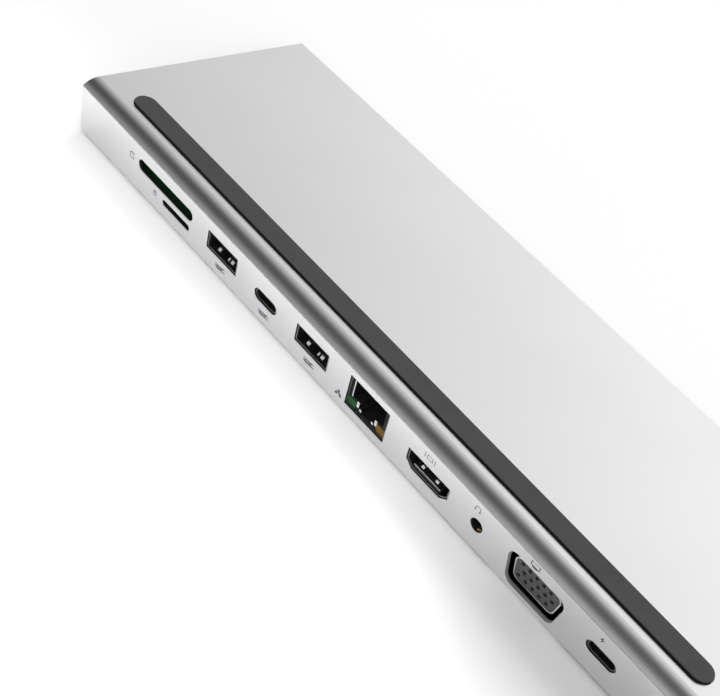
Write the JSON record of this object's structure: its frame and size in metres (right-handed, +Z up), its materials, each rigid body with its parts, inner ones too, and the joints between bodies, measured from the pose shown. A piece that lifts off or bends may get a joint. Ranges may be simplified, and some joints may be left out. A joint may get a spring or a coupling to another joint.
{
  "type": "laptop docking station",
  "caption": "Wedge-shaped aluminium laptop riser with a rubber grip strip and a tall rear face full of card, data, network, video, audio and power sockets.",
  "frame": {"origin": "middle of the length and depth, on the surface that the rubber feet stand on", "axes": "+X along the length, to the right when the ports are faced; +Y from the port face to the thin front edge; +Z up"},
  "size_m": [0.25, 0.084, 0.0187],
  "materials": {
    "aluminium": "satin sandblasted anodised",
    "dark_rubber": "matte dark grey silicone",
    "steel": "bright plated sheet",
    "gold": "gold plated",
    "black_plastic": "moulded black plastic",
    "board_green": "solder mask over laminate",
    "white_plastic": "moulded white plastic",
    "green_light": "tinted light pipe",
    "amber_light": "tinted light pipe",
    "grey_pad": "soft heat-conducting pad",
    "ferrite": "sintered ferrite",
    "spring_steel": "drawn wire"
  },
  "bodies": {
    "dock": {"audio_body": "black_plastic", "audio_contacts": "gold", "base_plate": "aluminium", "board_screws": "steel", "capacitors": "steel", "case_screws": "steel", "crystals": "steel", "front_foot": "dark_rubber", "grip_strip": "dark_rubber", "hdmi_contacts": "gold", "hdmi_shell": "steel", "hdmi_tongue": "black_plastic", "hub_chip": "black_plastic", "inductors": "ferrite", "main_board": "board_green", "network_chip": "black_plastic", "network_transformer": "black_plastic", "panel_screws": "steel", "port_panel": "aluminium", "power_chip": "black_plastic", "rear_foot": "dark_rubber", "rj45_amber_light": "amber_light", "rj45_contacts": "gold", "rj45_green_light": "green_light", "rj45_housing": "black_plastic", "rj45_shield": "steel", "sd_base": "black_plastic", "sd_contacts": "gold", "sd_shell": "steel", "small_parts": "black_plastic", "standoffs": "gold", "tf_base": "black_plastic", "tf_contacts": "gold", "tf_shell": "steel", "tf_spring": "spring_steel", "thermal_pad": "grey_pad", "top_shell": "aluminium", "usb_a_left_contacts": "gold", "usb_a_left_shell": "steel", "usb_a_left_tongue": "black_plastic", "usb_a_right_contacts": "gold", "usb_a_right_shell": "steel", "usb_a_right_tongue": "black_plastic", "usb_c_data_contacts": "gold", "usb_c_data_shell": "steel", "usb_c_data_tongue": "black_plastic", "usb_c_power_contacts": "gold", "usb_c_power_shell": "steel", "usb_c_power_tongue": "black_plastic", "vga_contacts": "gold", "vga_insulator": "black_plastic", "vga_shell": "steel", "video_chip": "black_plastic"},
    "eject_slider": {"tf_slider": "white_plastic"}
  },
  "joints": [
    {"name": "microsd_eject_slide", "type": "slide", "parent": "dock", "child": "eject_slider", "axis": [0, 1, 0], "range_m": [0, 0.0042], "stiffness_N_per_m": 150, "springref_m": -0.0008, "deforming": ["tf_spring"]}
  ]
}
